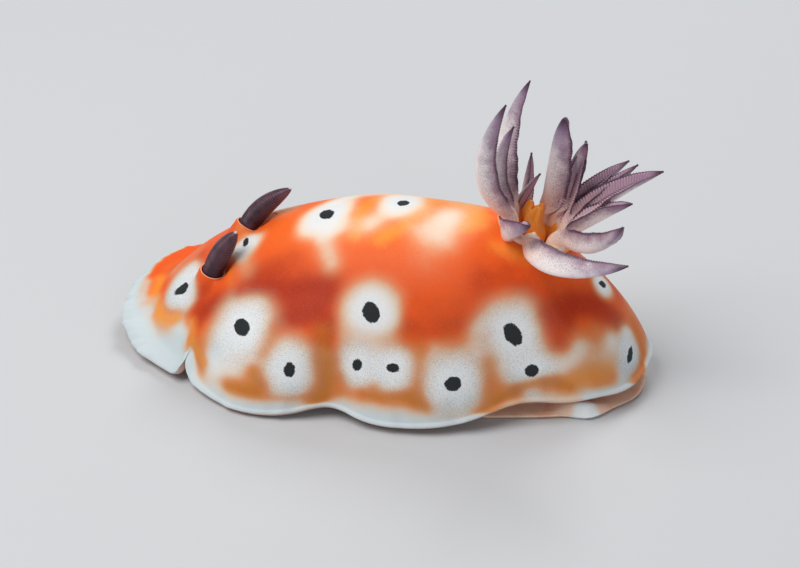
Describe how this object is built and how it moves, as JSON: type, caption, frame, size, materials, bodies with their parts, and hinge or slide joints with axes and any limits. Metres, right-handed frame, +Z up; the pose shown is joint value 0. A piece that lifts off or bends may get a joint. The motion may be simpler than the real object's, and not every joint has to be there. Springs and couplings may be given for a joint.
{
  "type": "leopard chromodoris sea slug model",
  "caption": "Life-size still model of a crawling dorid sea slug with a ruffled mantle, ringed rhinophores in sheaths and a feathery gill circlet.",
  "frame": {"origin": "on the flat sole of the foot, at the floor, under the middle of the body", "axes": "+Z up from the sole, the head looks towards -X, the animal's left side towards -Y"},
  "size_m": [0.0571, 0.0286, 0.032],
  "materials": {
    "mantle_skin": "moist satin skin, white and orange with black spots",
    "foot_skin": "moist satin skin, pale pink",
    "rhinophore_skin": "satin dark purple-brown skin with pale leaf edges",
    "gill_skin": "satin lilac skin with dark purple edges",
    "papilla_skin": "moist satin orange skin"
  },
  "bodies": {
    "root": {"mantle_head": "mantle_skin", "mantle_middle": "mantle_skin", "mantle_gill": "mantle_skin", "mantle_tail": "mantle_skin", "foot_front": "foot_skin", "foot_tail": "foot_skin", "mouth": "foot_skin", "oral_tentacle_left": "foot_skin", "oral_tentacle_right": "foot_skin", "rhinophore_left": "rhinophore_skin", "rhinophore_right": "rhinophore_skin", "gill_front": "gill_skin", "gill_rear": "gill_skin", "anal_papilla": "papilla_skin"}
  },
  "joints": []
}
